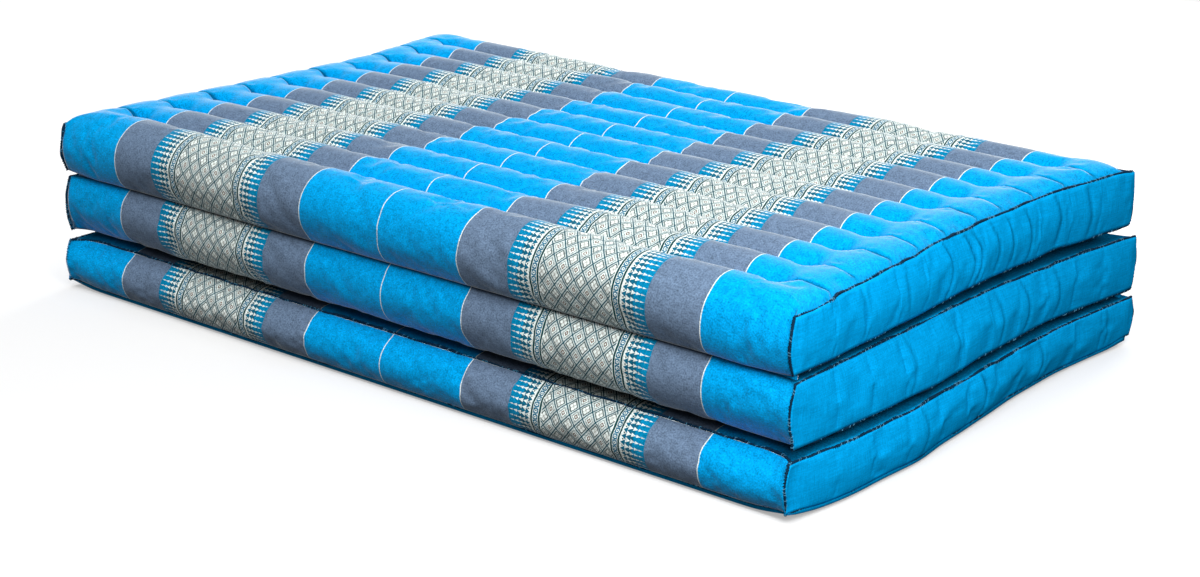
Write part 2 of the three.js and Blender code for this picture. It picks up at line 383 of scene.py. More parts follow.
class Form:
    """A stuffed section as a closed mesh in rows: its points, facets, patches and cloth measures."""

    def __init__(self, section, sizes, every=1, puff=1.0):
        self.section, self.sizes = section, sizes
        self.wide = sizes.rolls * section.columns // every
        self.high = WALL_ROWS // every
        steps = np.concatenate(
            (
                np.linspace(0, BORDER_SPAN, BORDER_STATIONS + 1)[:-1],
                np.linspace(BORDER_SPAN, sizes.length - BORDER_SPAN, MIDDLE_STATIONS + 1)[:-1],
                np.linspace(sizes.length - BORDER_SPAN, sizes.length, BORDER_STATIONS + 1),
            )
        )[::every]
        self.along = steps - sizes.length / 2
        self.from_end = sizes.length / 2 - np.abs(self.along)
        self.every = every
        self.number()
        self.points = np.zeros((self.count, 3))
        self.lay(puff)

    def number(self):
        """Numbers the points of every patch; patches share their edges."""
        wide, high = self.wide, self.high
        stations = len(self.along)
        self.ring = 2 * (wide + high)
        first = np.arange(stations)[:, None] * self.ring
        up = np.arange(high + 1)
        self.patches = {
            "bottom": first + np.arange(wide + 1),
            "top": first + high + 2 * wide - np.arange(wide + 1),
            "back": first + wide + up,
            "front": first + (self.ring - up) % self.ring,
        }
        self.count = stations * self.ring
        for name, station in (("left", 0), ("right", stations - 1)):
            cap = np.zeros((high + 1, wide + 1), int)
            cap[0] = self.patches["bottom"][station]
            cap[-1] = self.patches["top"][station]
            cap[:, 0] = self.patches["front"][station]
            cap[:, -1] = self.patches["back"][station]
            inner = (high - 1) * (wide - 1)
            cap[1:-1, 1:-1] = self.count + np.arange(inner).reshape(high - 1, wide - 1)
            self.count += inner
            self.patches[name] = cap

    def rows(self, share):
        """Places from front to back of the points of the bottom (0) or top (1) at every station."""
        sizes, each = self.sizes, self.section.columns // self.every
        half = sizes.depth / 2
        from_end = self.from_end[:, None]
        pitch = sizes.depth / sizes.rolls
        part = np.arange(each + 1) / each
        part = part - CLUSTER / (2 * np.pi) * np.sin(2 * np.pi * part)
        across = np.concatenate([roll + part[:-1] for roll in range(sizes.rolls)] + [[sizes.rolls]])
        y = np.broadcast_to(-half + across * pitch, (len(self.along), self.wide + 1)).copy()
        front = -half + wall_inset(self.section.front, share, from_end, sizes)
        back = half - wall_inset(self.section.back, share, from_end, sizes)
        y[:, : each + 1] = blend(front, -half + pitch, part)
        y[:, -each - 1 :] = blend(half - pitch, back, part)
        return y

    def put(self, patch, y, z, share):
        """Places a patch's points, at a share of the height, pulled in or swaying towards the ends."""
        from_end, sign = self.from_end[:, None], np.sign(self.along)[:, None]
        settled = 1 - ease(from_end, 0, self.sizes.length / 3)
        reach = blend(self.sizes.length / 2, end_reach(self.section, y, share, self.sizes), settled)
        x = sign * (reach - from_end)
        self.points[self.patches[patch]] = np.stack(np.broadcast_arrays(x, y, z), axis=2)

    def lay(self, puff):
        section, sizes, from_end = self.section, self.sizes, self.from_end[:, None]
        for patch, side, share in (("bottom", "under", 0), ("top", "over", 1)):
            y = self.rows(share)
            z = face_height(section, side, y, from_end, sizes, puff)
            if section is LOWER and patch == "bottom":
                y = y - under_lip(y - y[:, :1])
            self.put(patch, y, z, share)
        if section is LOWER:
            squeezed = np.sign(self.along) * under_lip(self.from_end)
            self.points[self.patches["bottom"], 0] += squeezed[:, None]
        up = np.arange(self.high + 1) / self.high
        for patch, wall, facing, column in (("front", section.front, -1, 0), ("back", section.back, 1, -1)):
            low = self.points[self.patches["bottom"][:, column], 2][:, None]
            top = self.points[self.patches["top"][:, column], 2][:, None]
            y = facing * (sizes.depth / 2 - wall_inset(wall, up, from_end, sizes))
            self.put(patch, y, blend(low, top, wall_rise(wall, up, from_end, sizes)), up)
        for name, sign in ENDS.items():
            cap = self.patches[name]
            low, top = self.points[cap[0]], self.points[cap[-1]]
            inner = blend(low, top, up[1:-1, None, None])
            inside = np.sqrt(np.clip(np.sin(np.pi * (low[:, 1] / sizes.depth + 0.5)), 0, 1))
            inner[:, :, 0] += sign * sizes.end_bulge * np.sin(np.pi * up[1:-1, None]) * inside
            self.points[cap[1:-1, 1:-1]] = inner[:, 1:-1]

    def facets(self):
        """Four-sided facets of the body, facing out, with the name of the patch each belongs to."""
        ring = np.arange(self.ring)
        after = (ring + 1) % self.ring
        first = np.arange(len(self.along) - 1)[:, None] * self.ring
        tube = np.stack((first + ring, first + after, first + self.ring + after, first + self.ring + ring), 2)
        groups = [tube.reshape(-1, 4)]
        for name, sign in ENDS.items():
            cap = self.patches[name]
            quads = np.stack((cap[:-1, :-1], cap[:-1, 1:], cap[1:, 1:], cap[1:, :-1]), 2).reshape(-1, 4)
            groups.append(quads if sign > 0 else quads[:, ::-1])
        return groups

    def ring_patch(self):
        """Name of the patch of every facet round the ring."""
        wide, high = self.wide, self.high
        return np.repeat(["bottom", "back", "top", "front"], [wide, high, wide, high])

    def ring_run(self):
        """Cloth length round the ring at the middle station, one more value than facets."""
        middle = len(self.along) // 2
        loop = self.points[middle * self.ring + np.arange(self.ring + 1) % self.ring]
        loop[-1] = self.points[middle * self.ring]
        return np.concatenate(([0], np.cumsum(np.linalg.norm(np.diff(loop, axis=0), axis=1))))

    def normals(self):
        quads = np.concatenate(self.facets())
        corners = self.points[quads]
        across = np.cross(corners[:, 2] - corners[:, 0], corners[:, 3] - corners[:, 1])
        total = np.zeros_like(self.points)
        for column in range(4):
            np.add.at(total, quads[:, column], across)
        return total / np.maximum(np.linalg.norm(total, axis=1, keepdims=True), 1e-12)

    def held(self):
        """Points that the stuffing can't move: sewn lines, and faces that lie on one another."""
        fixed = np.zeros(self.count, bool)
        fixed[self.patches["bottom"]] = True
        top = self.patches["top"]
        if self.section.pressed:
            fixed[top] = True
        each = self.section.columns // self.every
        sewn = self.from_end >= self.sizes.border - 0.004
        for roll in range(1, self.sizes.rolls):
            fixed[top[sewn, roll * each]] = True
        for name in ENDS:
            cap = self.patches[name]
            for edge in (cap[0], cap[-1], cap[:, 0], cap[:, -1]):
                fixed[edge] = True
        return fixed


def widen(moves, axis):
    """Doubles a grid of moves along an axis, with a smooth curve through the known ones."""
    moves = np.moveaxis(moves, axis, 0)
    padded = np.concatenate((2 * moves[:1] - moves[1:2], moves, 2 * moves[-1:] - moves[-2:-1]))
    between = (9 * (padded[1:-2] + padded[2:-1]) - padded[:-3] - padded[3:]) / 16
    full = np.zeros((2 * len(moves) - 1, *moves.shape[1:]))
    full[::2], full[1::2] = moves, between
    return np.moveaxis(full, 0, axis)


def new_object(name, points, facets):
    mesh = bpy.data.meshes.new(name)
    sides = np.array([len(facet) for facet in facets])
    mesh.vertices.add(len(points))
    mesh.vertices.foreach_set("co", np.ravel(points).astype(np.float32))
    mesh.loops.add(int(sides.sum()))
    loop_corners = np.concatenate([np.ravel(facet) for facet in facets]).astype(np.int32)
    mesh.loops.foreach_set("vertex_index", loop_corners)
    mesh.polygons.add(len(sides))
    mesh.polygons.foreach_set("loop_start", (np.cumsum(sides) - sides).astype(np.int32))
    mesh.update(calc_edges=True)
    piece = bpy.data.objects.new(name, mesh)
    bpy.context.scene.collection.objects.link(piece)
    return piece


def drop_object(piece):
    mesh = piece.data
    bpy.data.objects.remove(piece)
    bpy.data.meshes.remove(mesh)


def swell(forms, cloth):
    """Lets the stuffing push the cloth of coarse forms out between its sewn lines."""
    scene = bpy.context.scene
    pads = []
    for form in forms:
        pad = new_object("swelling", form.points, np.concatenate(form.facets()))
        pad.vertex_groups.new(name="sewn").add(np.flatnonzero(form.held()).tolist(), 1.0, "REPLACE")
        modifier = pad.modifiers.new("Cloth", "CLOTH")
        settings = modifier.settings
        settings.quality = 6
        settings.mass = 0.3
        settings.tension_stiffness = settings.compression_stiffness = 20
        settings.shear_stiffness = 8
        settings.bending_stiffness = 0.4
        settings.air_damping = 2
        settings.use_pressure = True
        settings.uniform_pressure_force = cloth.pressure
        settings.shrink_min = -cloth.slack
        settings.vertex_group_mass = "sewn"
        settings.effector_weights.gravity = 0
        modifier.collision_settings.use_collision = False
        modifier.point_cache.frame_start = 1
        modifier.point_cache.frame_end = SETTLE_FRAMES
        pads.append(pad)
    for step in range(1, SETTLE_FRAMES + 1):
        scene.frame_set(step)
    graph = bpy.context.evaluated_depsgraph_get()
    for form, pad in zip(forms, pads):
        mesh = pad.evaluated_get(graph).to_mesh()
        places = np.zeros(form.count * 3)
        mesh.vertices.foreach_get("co", places)
        moves = places.reshape(-1, 3) - form.points
        far = np.linalg.norm(moves, axis=1, keepdims=True)
        form.moves = moves * np.minimum(1, cloth.most_move / np.maximum(far, 1e-9))
    for pad in pads:
        drop_object(pad)
    scene.frame_set(1)


def relief(form):
    """Small shape of the cloth, out along its normals: seam puckers, gathers, pleats and lumps; and
    form.fold, painted shade in creases, in pits and in the gaps between sections.
    """
    sizes, points = form.sizes, form.points
    out = np.zeros(form.count)
    form.fold = np.zeros(form.count)
    # Painted shade in the gaps: faces that lie on the floor or against another section are darkened from 4 mm
    # in from their ends.
    for patch in ("bottom",) if form.section is UPPER else ("bottom", "top"):
        form.fold[form.patches[patch]] = GAP_SHADE * ease(form.from_end[:, None], 0, 0.004)
    pitch = sizes.depth / sizes.rolls
    seed = SECTIONS.index(form.section) + 1
    stuffing = 0.0015 * lumps(points, 0.12, seed) + 0.0005 * lumps(points, 0.045, seed)
    if not form.section.pressed:
        top = form.patches["top"]
        x, y = points[top, 0], points[top, 1]
        from_end = np.broadcast_to(form.from_end[:, None], x.shape)
        across = (y / sizes.depth + 0.5) * sizes.rolls
        seam = np.clip(np.round(across), 1, sizes.rolls - 1)
        beside = (across - seam) * pitch
        sewn = ease(from_end, sizes.border - 0.012, sizes.border)
        tight = np.exp(-((beside / 0.005) ** 2)) * sewn
        puckers = lumps(columns(x, seam * 0.4), 0.009, 3).reshape(x.shape)
        ripples = lumps(columns(x, seam * 0.4, np.sign(beside) * 0.2), 0.013, 4).reshape(x.shape)
        near = np.exp(-(((np.abs(beside) - 0.009) / 0.007) ** 2)) * sewn
        gathers = lumps(columns(y, from_end * 0.12), 0.010, 5).reshape(x.shape)
        gathered = np.exp(-from_end / 0.02)
        lean = 0.005 * np.sin(seam * 2.4) * (1 - from_end / sizes.border)
        before_stitch = 1 - ease(from_end, 0.9 * sizes.border, sizes.border)
        # fold is a crease beside each channel stitch towards the end: it dents the cloth and is also painted
        # shade in the crease; the pit is painted shade in the dimple where the stitching stops.
        fold = np.exp(-(((beside - lean) / 0.002) ** 2)) * before_stitch
        pit_shade = np.exp(-(((from_end - sizes.border) / 0.012) ** 2) - (beside / 0.009) ** 2)
        form.fold[top] = np.maximum(fold * ease(from_end, 0, 0.006), PIT_SHADE * pit_shade)
        out[top] = (
            stuffing[top]
            - 0.0012 * tight * (0.5 + 0.5 * puckers)
            + 0.0005 * near * ripples
            + 0.0009 * gathered * gathers
            - 0.0026 * fold * ease(from_end, 0, 0.01)
        )
    for patch in ("front", "back"):
        wall = form.patches[patch]
        up = np.arange(form.high + 1) / form.high
        edge = np.exp(-np.minimum(up, 1 - up) * 6)
        drag = lumps(columns(points[wall, 0], up * 0.03), 0.016, 6 + seed).reshape(wall.shape)
        inside = np.sin(np.pi * up) ** 0.5
        out[wall[:, 1:-1]] = (stuffing[wall] * inside + 0.0005 * edge * drag * inside)[:, 1:-1]
    return out


def end_cloth(form, name):
    """Points of the cloth over an end, finer than the end itself, with its pleats, and the painted shade of
    each point: a dark line down each crease."""
    sizes, sign = form.sizes, ENDS[name]
    grid = form.points[form.patches[name]]
    while grid.shape[1] <= PANEL_COLUMNS // 2 + 1:
        grid = widen(grid, 1)
    seed = SECTIONS.index(form.section) + 1
    up = (np.arange(len(grid)) / form.high)[:, None]
    back = grid[:, :, 1] + sizes.depth / 2
    wrinkles = lumps(columns(back, grid[:, :, 2] * 0.18), 0.02, 9 + seed * sign).reshape(back.shape)
    pleats = 0.0006 * wrinkles
    crease_shade = np.zeros(back.shape)
    for crease in CREASES:
        if crease.section == form.section.name:
            place = crease.place if sign > 0 else 1000 * sizes.depth - crease.place
            bow = crease.lean * (1 - (2 * up - 1) ** 2)
            from_fold = (back / MM - place - bow) / crease.half_width
            shape = np.exp(-((from_fold * 1.6) ** 2)) - 0.4 * np.exp(-((from_fold + 1.7) ** 2) / 1.4)
            pleats = pleats - MM * crease.depth * shape
            # Painted shade: a thin dark line down the middle of the crease, darker for a deeper crease.
            line = np.exp(-((from_fold * crease.half_width / SHADE_LINE_WIDTH) ** 2))
            crease_shade = np.maximum(crease_shade, line * min(1, crease.depth / SHADE_FULL_DEPTH))
    inside = np.sin(np.pi * up) ** 0.5
    grid[1:-1, 1:-1, 0] += sign * (pleats * inside)[1:-1, 1:-1]
    return grid, crease_shade * inside


FORMS = {}


def settled_forms():
    """The three sections as they lie, worked out once."""
    if FORMS:
        return FORMS
    sizes, cloth = bpy.context.scene.mattress_sizes, bpy.context.scene.mattress_cloth
    fine = [Form(section, sizes, puff=0.9) for section in SECTIONS]
    coarse = [Form(section, sizes, every=2, puff=0.9) for section in SECTIONS]
    swell(coarse, cloth)
    for form, small in zip(fine, coarse):
        moves = np.zeros_like(form.points)
        for patch, places in form.patches.items():
            moves[places] = widen(widen(small.moves[small.patches[patch]], 0), 1)
        form.points += moves
    for form in fine:
        form.points += form.normals() * relief(form)[:, None]
        section = form.section
        floor = height_at(section.under, form.points[:, 1], sizes)
        form.points[:, 2] = np.maximum(form.points[:, 2], floor)
        if section.pressed:
            ceiling = height_at(section.over, form.points[:, 1], sizes)
            form.points[:, 2] = np.minimum(form.points[:, 2], ceiling)
        form.ends, form.end_folds = {}, {}
        for name in ENDS:
            form.ends[name], form.end_folds[name] = end_cloth(form, name)
        inside = np.sin(np.pi * np.arange(form.high + 1) / form.high)[1:-1, None]
        for name, sign in ENDS.items():
            form.points[form.patches[name][1:-1, 1:-1], 0] -= sign * CAP_BACK * inside
        for points in (form.points, *form.ends.values()):
            points[..., 1] = points[..., 1] * section.spread + MM * section.shift + sizes.offset
        FORMS[section.name] = form
    return FORMS


# Node trees


class Wiring:
    """Adds nodes to a tree and joins them."""

    def __init__(self, tree):
        self.tree = tree

    def add(self, kind, **settings):
        node = self.tree.nodes.new(kind)
        node.location = (180 * len(self.tree.nodes), 0)
        for name, value in settings.items():
            setattr(node, name, value)
        return node

    def feed(self, socket, value):
        if isinstance(value, bpy.types.NodeSocket):
            self.tree.links.new(value, socket)
        else:
            socket.default_value = value

    def math(self, operation, *values):
        node = self.add("ShaderNodeMath", operation=operation)
        for socket, value in zip(node.inputs, values):
            self.feed(socket, value)
        return node.outputs[0]

    def mix(self, share, first, second, way="MIX"):
        node = self.add("ShaderNodeMix", data_type="RGBA", blend_type=way)
        for socket, value in zip((node.inputs[0], node.inputs[6], node.inputs[7]), (share, first, second)):
            self.feed(socket, value)
        return node.outputs[2]

    def noise(self, vector, scale, detail, stretch=(1, 1, 1)):
        mapping = self.add("ShaderNodeMapping")
        self.feed(mapping.inputs["Vector"], vector)
        mapping.inputs["Scale"].default_value = stretch
        node = self.add("ShaderNodeTexNoise")
        self.feed(node.inputs["Vector"], mapping.outputs[0])
        node.inputs["Scale"].default_value = scale
        node.inputs["Detail"].default_value = detail
        return node.outputs[0]

    def between(self, value, low, high):
        return self.math("COMPARE", value, (low + high) / 2, (high - low) / 2)


def node_group(name, kind, inputs, outputs):
    """A new node group with named sockets, its input node and its output node."""
    tree = bpy.data.node_groups.new(name, kind)
    for label, socket in inputs:
        tree.interface.new_socket(label, in_out="INPUT", socket_type=socket)
    for label, socket in outputs:
        tree.interface.new_socket(label, in_out="OUTPUT", socket_type=socket)
    wiring = Wiring(tree)
    return wiring, wiring.add("NodeGroupInput").outputs, wiring.add("NodeGroupOutput").inputs


BAND_LINES = (0, 119, 437)
LINE_HALF = 0.6
GREY_FROM, GREY_TO = 119, 437
BORDER_MIDDLE, LATTICE_HALF, DOTS_HALF, TEETH_HALF = 279, 46.5, 60.5, 91
CELL_X, CELL_RUN = 17.2, 20.0
TOOTH_PITCH = CELL_RUN / 3
BARB, BARB_FALL, TOOTH_WIDE, TOOTH_FALL = 6.1, 1.1, 3.3, 3.1
EYE, EYE_AT = 0.9, 3.0
RING, TIE_SLOPE, PALE_EDGE, DARK_EDGE = (0.8, 1.8), 0.22, 2.9, (3.6, 6.0)
# Shares of a lattice cell, from the middle of a motif outwards.
SQUARE, SQUARE_RING, SQUARE_EDGE = 0.25, (0.075, 0.15), (0.25, 0.31)
PETAL, PETAL_AT, FLOWER_FRAME, TRELLIS = 0.13, 0.15, (0.29, 0.36), 0.45
YARNS = ("Blue", "Grey", "Cream", "Teal", "Ink", "Brown")


def distance(w, across, along):
    squares = w.math("ADD", w.math("MULTIPLY", across, across), w.math("MULTIPLY", along, along))
    return w.math("SQRT", squares)


def woven_bands():
    """Colour of the woven face cloth: plain bands, thin lines, and a lattice between toothed borders."""
    made = bpy.data.node_groups.get("Woven bands")
    if made:
        return made
    w, given, result = node_group(
        "Woven bands",
        "ShaderNodeTree",
        [("Cloth", "NodeSocketVector")]
        + [(label, "NodeSocketColor") for label in YARNS],
        [("Color", "NodeSocketColor")],
    )
    blue, grey, cream, teal, ink, brown = (given[name] for name in YARNS)
    split = w.add("ShaderNodeSeparateXYZ")
    w.feed(split.inputs[0], given["Cloth"])
    waver = w.math("MULTIPLY_ADD", w.noise(given["Cloth"], 90, 2), 0.4, -0.2)
    along = w.math("ABSOLUTE", w.math("MULTIPLY_ADD", split.outputs[0], 1000, waver))
    run = w.math("MULTIPLY_ADD", split.outputs[1], 1000, waver)
    aside = w.math("ABSOLUTE", w.math("SUBTRACT", along, BORDER_MIDDLE))

    # Teeth: a ring, then stacked barbs that taper away from the lattice to a point.
    reach = w.math("SUBTRACT", aside, DOTS_HALF)
    share = w.math("DIVIDE", reach, TEETH_HALF - DOTS_HALF)
    beside = w.math("PINGPONG", run, TOOTH_PITCH / 2)
    barb = w.math("FRACT", w.math("DIVIDE", reach, BARB))
    taper = w.math("MULTIPLY_ADD", share, -TOOTH_FALL, TOOTH_WIDE)
    width = w.math("MULTIPLY", taper, w.math("MULTIPLY_ADD", barb, -BARB_FALL, BARB_FALL))
    tooth = w.math("LESS_THAN", beside, width)
    ground = w.mix(w.math("MULTIPLY", w.math("LESS_THAN", share, 0.5), 0.6), teal, ink)
    teeth = w.mix(tooth, ground, cream)
    eye = w.math("LESS_THAN", distance(w, w.math("SUBTRACT", reach, EYE_AT), beside), EYE)
    teeth = w.mix(eye, teeth, ink)

    # Narrow band of rings and bow ties between double lines.
    from_middle = w.math("SUBTRACT", aside, (LATTICE_HALF + DOTS_HALF) / 2)
    out = w.math("ABSOLUTE", from_middle)
    rings = w.mix(w.between(distance(w, out, beside), *RING), w.mix(0.5, teal, ink), cream)
    from_ring = w.math("SUBTRACT", TOOTH_PITCH / 2, beside)
    tie = w.math("LESS_THAN", from_ring, w.math("MULTIPLY", out, TIE_SLOPE))
    rings = w.mix(tie, rings, cream)
    rings = w.mix(w.math("GREATER_THAN", out, PALE_EDGE), rings, cream)
    rings = w.mix(w.between(out, *DARK_EDGE), rings, ink)

    # Lattice: diamonds, each with a small brown square or with a four-petal flower in a dark frame.
    sideways = w.math("DIVIDE", aside, CELL_X)
    onwards = w.math("DIVIDE", run, CELL_RUN)
    first = w.math("ADD", sideways, onwards)
    second = w.math("SUBTRACT", sideways, onwards)
    from_first = w.math("PINGPONG", first, 0.5)
    from_second = w.math("PINGPONG", second, 0.5)
    from_motif = w.math("MAXIMUM", from_first, from_second)
    count = w.math("ADD", w.math("ROUND", first), w.math("ROUND", second))
    odd = w.math("GREATER_THAN", w.math("FRACT", w.math("MULTIPLY", count, 0.5)), 0.25)
    mint = w.mix(0.26, cream, w.mix(0.8, teal, ink))
    least = w.math("MINIMUM", from_first, from_second)
    dashes = w.math("LESS_THAN", w.math("FRACT", w.math("MULTIPLY", least, 9)), 0.55)
    square = w.mix(w.math("LESS_THAN", from_motif, SQUARE), mint, cream)
    square = w.mix(w.between(from_motif, *SQUARE_RING), square, brown)
    square = w.mix(w.math("MULTIPLY", w.between(from_motif, *SQUARE_EDGE), dashes), square, ink)
    petal = distance(w, *(w.math("SUBTRACT", each, PETAL_AT) for each in (from_first, from_second)))
    flower = w.mix(w.math("LESS_THAN", petal, PETAL), w.mix(0.45, cream, brown), cream)
    flower = w.mix(w.math("GREATER_THAN", from_motif, FLOWER_FRAME[0]), flower, ink)
    flower = w.mix(w.math("GREATER_THAN", from_motif, FLOWER_FRAME[1]), flower, mint)
    lattice = w.mix(odd, square, flower)
    lattice = w.mix(w.math("GREATER_THAN", from_motif, TRELLIS), lattice, w.mix(0.12, ink, teal))

    colour = w.mix(w.between(along, GREY_FROM, GREY_TO), blue, grey)
    colour = w.mix(w.math("LESS_THAN", aside, TEETH_HALF), colour, teeth)
    colour = w.mix(w.math("LESS_THAN", aside, DOTS_HALF), colour, rings)
    colour = w.mix(w.math("LESS_THAN", aside, LATTICE_HALF), colour, lattice)
    for place in BAND_LINES:
        colour = w.mix(w.math("COMPARE", along, float(place), LINE_HALF), colour, cream)
    w.feed(result["Color"], colour)
    return w.tree


def brushed_cotton():
    """Felted surface: a tone to multiply the colour by, and a height."""
    made = bpy.data.node_groups.get("Brushed cotton")
    if made:
        return made
    w, given, result = node_group(
        "Brushed cotton",
        "ShaderNodeTree",
        [("Cloth", "NodeSocketVector"), ("Contrast", "NodeSocketFloat"), ("Streaks", "NodeSocketFloat")],
        [("Tone", "NodeSocketFloat"), ("Height", "NodeSocketFloat")],
    )
    cloth = given["Cloth"]
    nap = w.noise(cloth, 520, 3)
    mottle = w.noise(cloth, 130, 3)
    warp = w.noise(cloth, 60, 4, (0.5, 14, 1))
    weft = w.noise(cloth, 60, 4, (14, 0.7, 1))
    felt = w.math("ADD", w.math("MULTIPLY", nap, 0.65), w.math("MULTIPLY", mottle, 0.35))
    streak = w.math("MULTIPLY", w.math("ADD", warp, weft), 0.5)
    surface = w.math(
        "ADD",
        w.math("MULTIPLY", felt, w.math("SUBTRACT", 1.0, given["Streaks"])),
        w.math("MULTIPLY", streak, given["Streaks"]),
    )
    tone = w.math("MULTIPLY_ADD", w.math("SUBTRACT", surface, 0.5), given["Contrast"], 1.0)
    w.feed(result["Tone"], tone)
    w.feed(result["Height"], surface)
    return w.tree


def solid(colour):
    return (*colour, 1.0)


def cloth_material(name, banded, contrast, streaks, colour, bump, sheen):
    """Brushed cotton, woven in bands or plain."""
    made = bpy.data.materials.get(name)
    if made:
        return made
    look = bpy.context.scene.mattress_cloth
    material = bpy.data.materials.new(name)
    material.use_nodes = True
    w = Wiring(material.node_tree)
    shader = material.node_tree.nodes["Principled BSDF"]
    cloth = w.add("ShaderNodeUVMap", uv_map="Cloth").outputs[0]
    nap = w.add("ShaderNodeGroup", node_tree=brushed_cotton())
    w.feed(nap.inputs["Cloth"], cloth)
    nap.inputs["Contrast"].default_value = contrast
    nap.inputs["Streaks"].default_value = streaks
    if banded:
        bands = w.add("ShaderNodeGroup", node_tree=woven_bands())
        w.feed(bands.inputs["Cloth"], cloth)
        for label in YARNS:
            bands.inputs[label].default_value = solid(getattr(look, label.lower()))
        base = bands.outputs["Color"]
    else:
        base = solid(colour)
    # Painted shade: the fold attribute darkens the colour in creases, in pits and in the gaps between
    # sections.
    fold = w.add("ShaderNodeAttribute", attribute_name="fold").outputs["Fac"]
    tone = w.math("MULTIPLY", nap.outputs["Tone"], w.math("MULTIPLY_ADD", fold, -FOLD_SHADE, 1.0))
    w.feed(shader.inputs["Base Color"], w.mix(1.0, base, tone, "MULTIPLY"))
    relief_node = w.add("ShaderNodeBump")
    relief_node.inputs["Strength"].default_value = bump
    relief_node.inputs["Distance"].default_value = 0.0006
    w.feed(relief_node.inputs["Height"], nap.outputs["Height"])
    w.feed(shader.inputs["Normal"], relief_node.outputs[0])
    shader.inputs["Roughness"].default_value = 0.95
    shader.inputs["Specular IOR Level"].default_value = 0.0
    shader.inputs["Sheen Weight"].default_value = sheen
    shader.inputs["Sheen Roughness"].default_value = 0.26
    shader.inputs["Sheen Tint"].default_value = (0.9, 0.97, 1.0, 1.0)
    return material


def face_cloth():
    return cloth_material("woven face cloth", True, 2.3, 0.0, None, 0.8, 1.0)


# A copy of the face cloth without sheen: painted shade for woven faces that lie in the gaps between sections.
def shaded_face_cloth():
    return cloth_material("face cloth in painted shade", True, 2.3, 0.0, None, 0.8, 0.0)


def plain_cloth():
    look = bpy.context.scene.mattress_cloth
    return cloth_material("plain blue cloth", False, 2.1, 0.6, look.end_blue, 0.6, 0.0)


def seam_material():
    """Dark overlocked edge, with paler threads where the stitches' random tint is high: partly a lighter
    thread, partly painted glints of light along the seam.
    """
    made = bpy.data.materials.get("overlocked edge")
    if made:
        return made
    look = bpy.context.scene.mattress_cloth
    material = bpy.data.materials.new("overlocked edge")
    material.use_nodes = True
    w = Wiring(material.node_tree)
    shader = material.node_tree.nodes["Principled BSDF"]
    tint = w.add("ShaderNodeAttribute", attribute_name="tint")
    # Painted glints, in part: stitches with a high random tint are pale.
    pale_and_glint = w.math("GREATER_THAN", tint.outputs["Fac"], 0.68)
    w.feed(shader.inputs["Base Color"], w.mix(pale_and_glint, solid(look.navy), solid(look.pale_and_glint)))
    shader.inputs["Roughness"].default_value = 0.8
    shader.inputs["Specular IOR Level"].default_value = 0.1
    return material


def thread_material():
    made = bpy.data.materials.get("channel thread")
    if made:
        return made
    look = bpy.context.scene.mattress_cloth
    material = bpy.data.materials.new("channel thread")
    material.use_nodes = True
    shader = material.node_tree.nodes["Principled BSDF"]
    shader.inputs["Base Color"].default_value = solid(blend(np.array(look.navy), np.array(look.blue), 0.5))
    shader.inputs["Roughness"].default_value = 0.7
    return material


# Meshes


def smooth(piece):
    piece.data.polygons.foreach_set("use_smooth", np.ones(len(piece.data.polygons), bool))


# Stores painted shade, from 0 to 1, as the fold attribute, which darkens the cloth's colour.
def set_painted_shade(mesh, values):
    marks = mesh.attributes.new("fold", "FLOAT", "POINT")
    marks.data.foreach_set("value", np.ravel(values).astype(np.float32))


def set_uv(mesh, pairs):
    layer = mesh.uv_layers.new(name="Cloth")
    layer.data.foreach_set("uv", np.ravel(pairs).astype(np.float32))


def finish_piece(piece, slot, *nodes):
    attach(piece, "root")
    if nodes:
        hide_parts(*nodes)


FACE_PATCHES = {"lower": (), "middle": ("front",), "upper": ("front", "top")}
# Woven faces in the gaps between sections, which get the copy of the face cloth without sheen as painted
# shade.
COVERED_FACE_PATCHES = {"lower": ("top",), "middle": ("bottom",), "upper": ()}


def body_cloth(form):
    """Cloth measures of every facet corner, and the number of the facet's material."""
    section, ring = form.section, form.ring
    run = form.ring_run()
    low, high = run[:-1], run[1:]
    whole = run[-1]
    if section.name == "upper":
        low, high = whole - low, whole - high
    elif section.name == "middle":
        crease = run[2 * form.wide + form.high]
        start = (low - crease) % whole
        low, high = -start, -start - (high - low)
    stations = len(form.along) - 1
    x = form.along
    corners = np.zeros((stations, ring, 4, 2))
    corners[:, :, 0] = np.stack(np.broadcast_arrays(x[:-1, None], low), 2)
    corners[:, :, 1] = np.stack(np.broadcast_arrays(x[:-1, None], high), 2)
    corners[:, :, 2] = np.stack(np.broadcast_arrays(x[1:, None], high), 2)
    corners[:, :, 3] = np.stack(np.broadcast_arrays(x[1:, None], low), 2)
    cloths = np.ones(ring, int)
    cloths[np.isin(form.ring_patch(), FACE_PATCHES[section.name])] = 0
    cloths[np.isin(form.ring_patch(), COVERED_FACE_PATCHES[section.name])] = 2
    _, left, right = form.facets()
    ends = [form.points[quads][:, :, 1:] for quads in (left, right)]
    pairs = np.concatenate([corners.reshape(-1, 4, 2), *ends])
    return pairs, np.concatenate((np.tile(cloths, stations), np.ones(len(left) + len(right), int)))


HINGE_CLOTH, HINGE_INSET, HINGE_BITE, HINGE_SHORT = 4 * MM, 6 * MM, 12 * MM, 6 * MM


def hinge(below, above, facing, sizes):
    """The strip of cloth sewn into a fold, as a closed box of points and facets."""
    end = 0 if facing < 0 else 1
    low = MM * below.over[end] - HINGE_BITE
    high = MM * above.under[end] + HINGE_BITE
    crease = facing * (sizes.depth / 2 - HINGE_INSET)
    reach = min(facing * (crease * section.spread + MM * section.shift) for section in (below, above))
    middle = facing * reach + sizes.offset
    half = sizes.length / 2 - HINGE_SHORT
    y = (middle - HINGE_CLOTH / 2, middle + HINGE_CLOTH / 2)
    points = np.array([(x, b, c) for x in (-half, half) for b in y for c in (low, high)])
    facets = [(0, 1, 3, 2), (4, 6, 7, 5), (0, 4, 5, 1), (2, 3, 7, 6), (0, 2, 6, 4), (1, 5, 7, 3)]
    return points, np.array(facets)


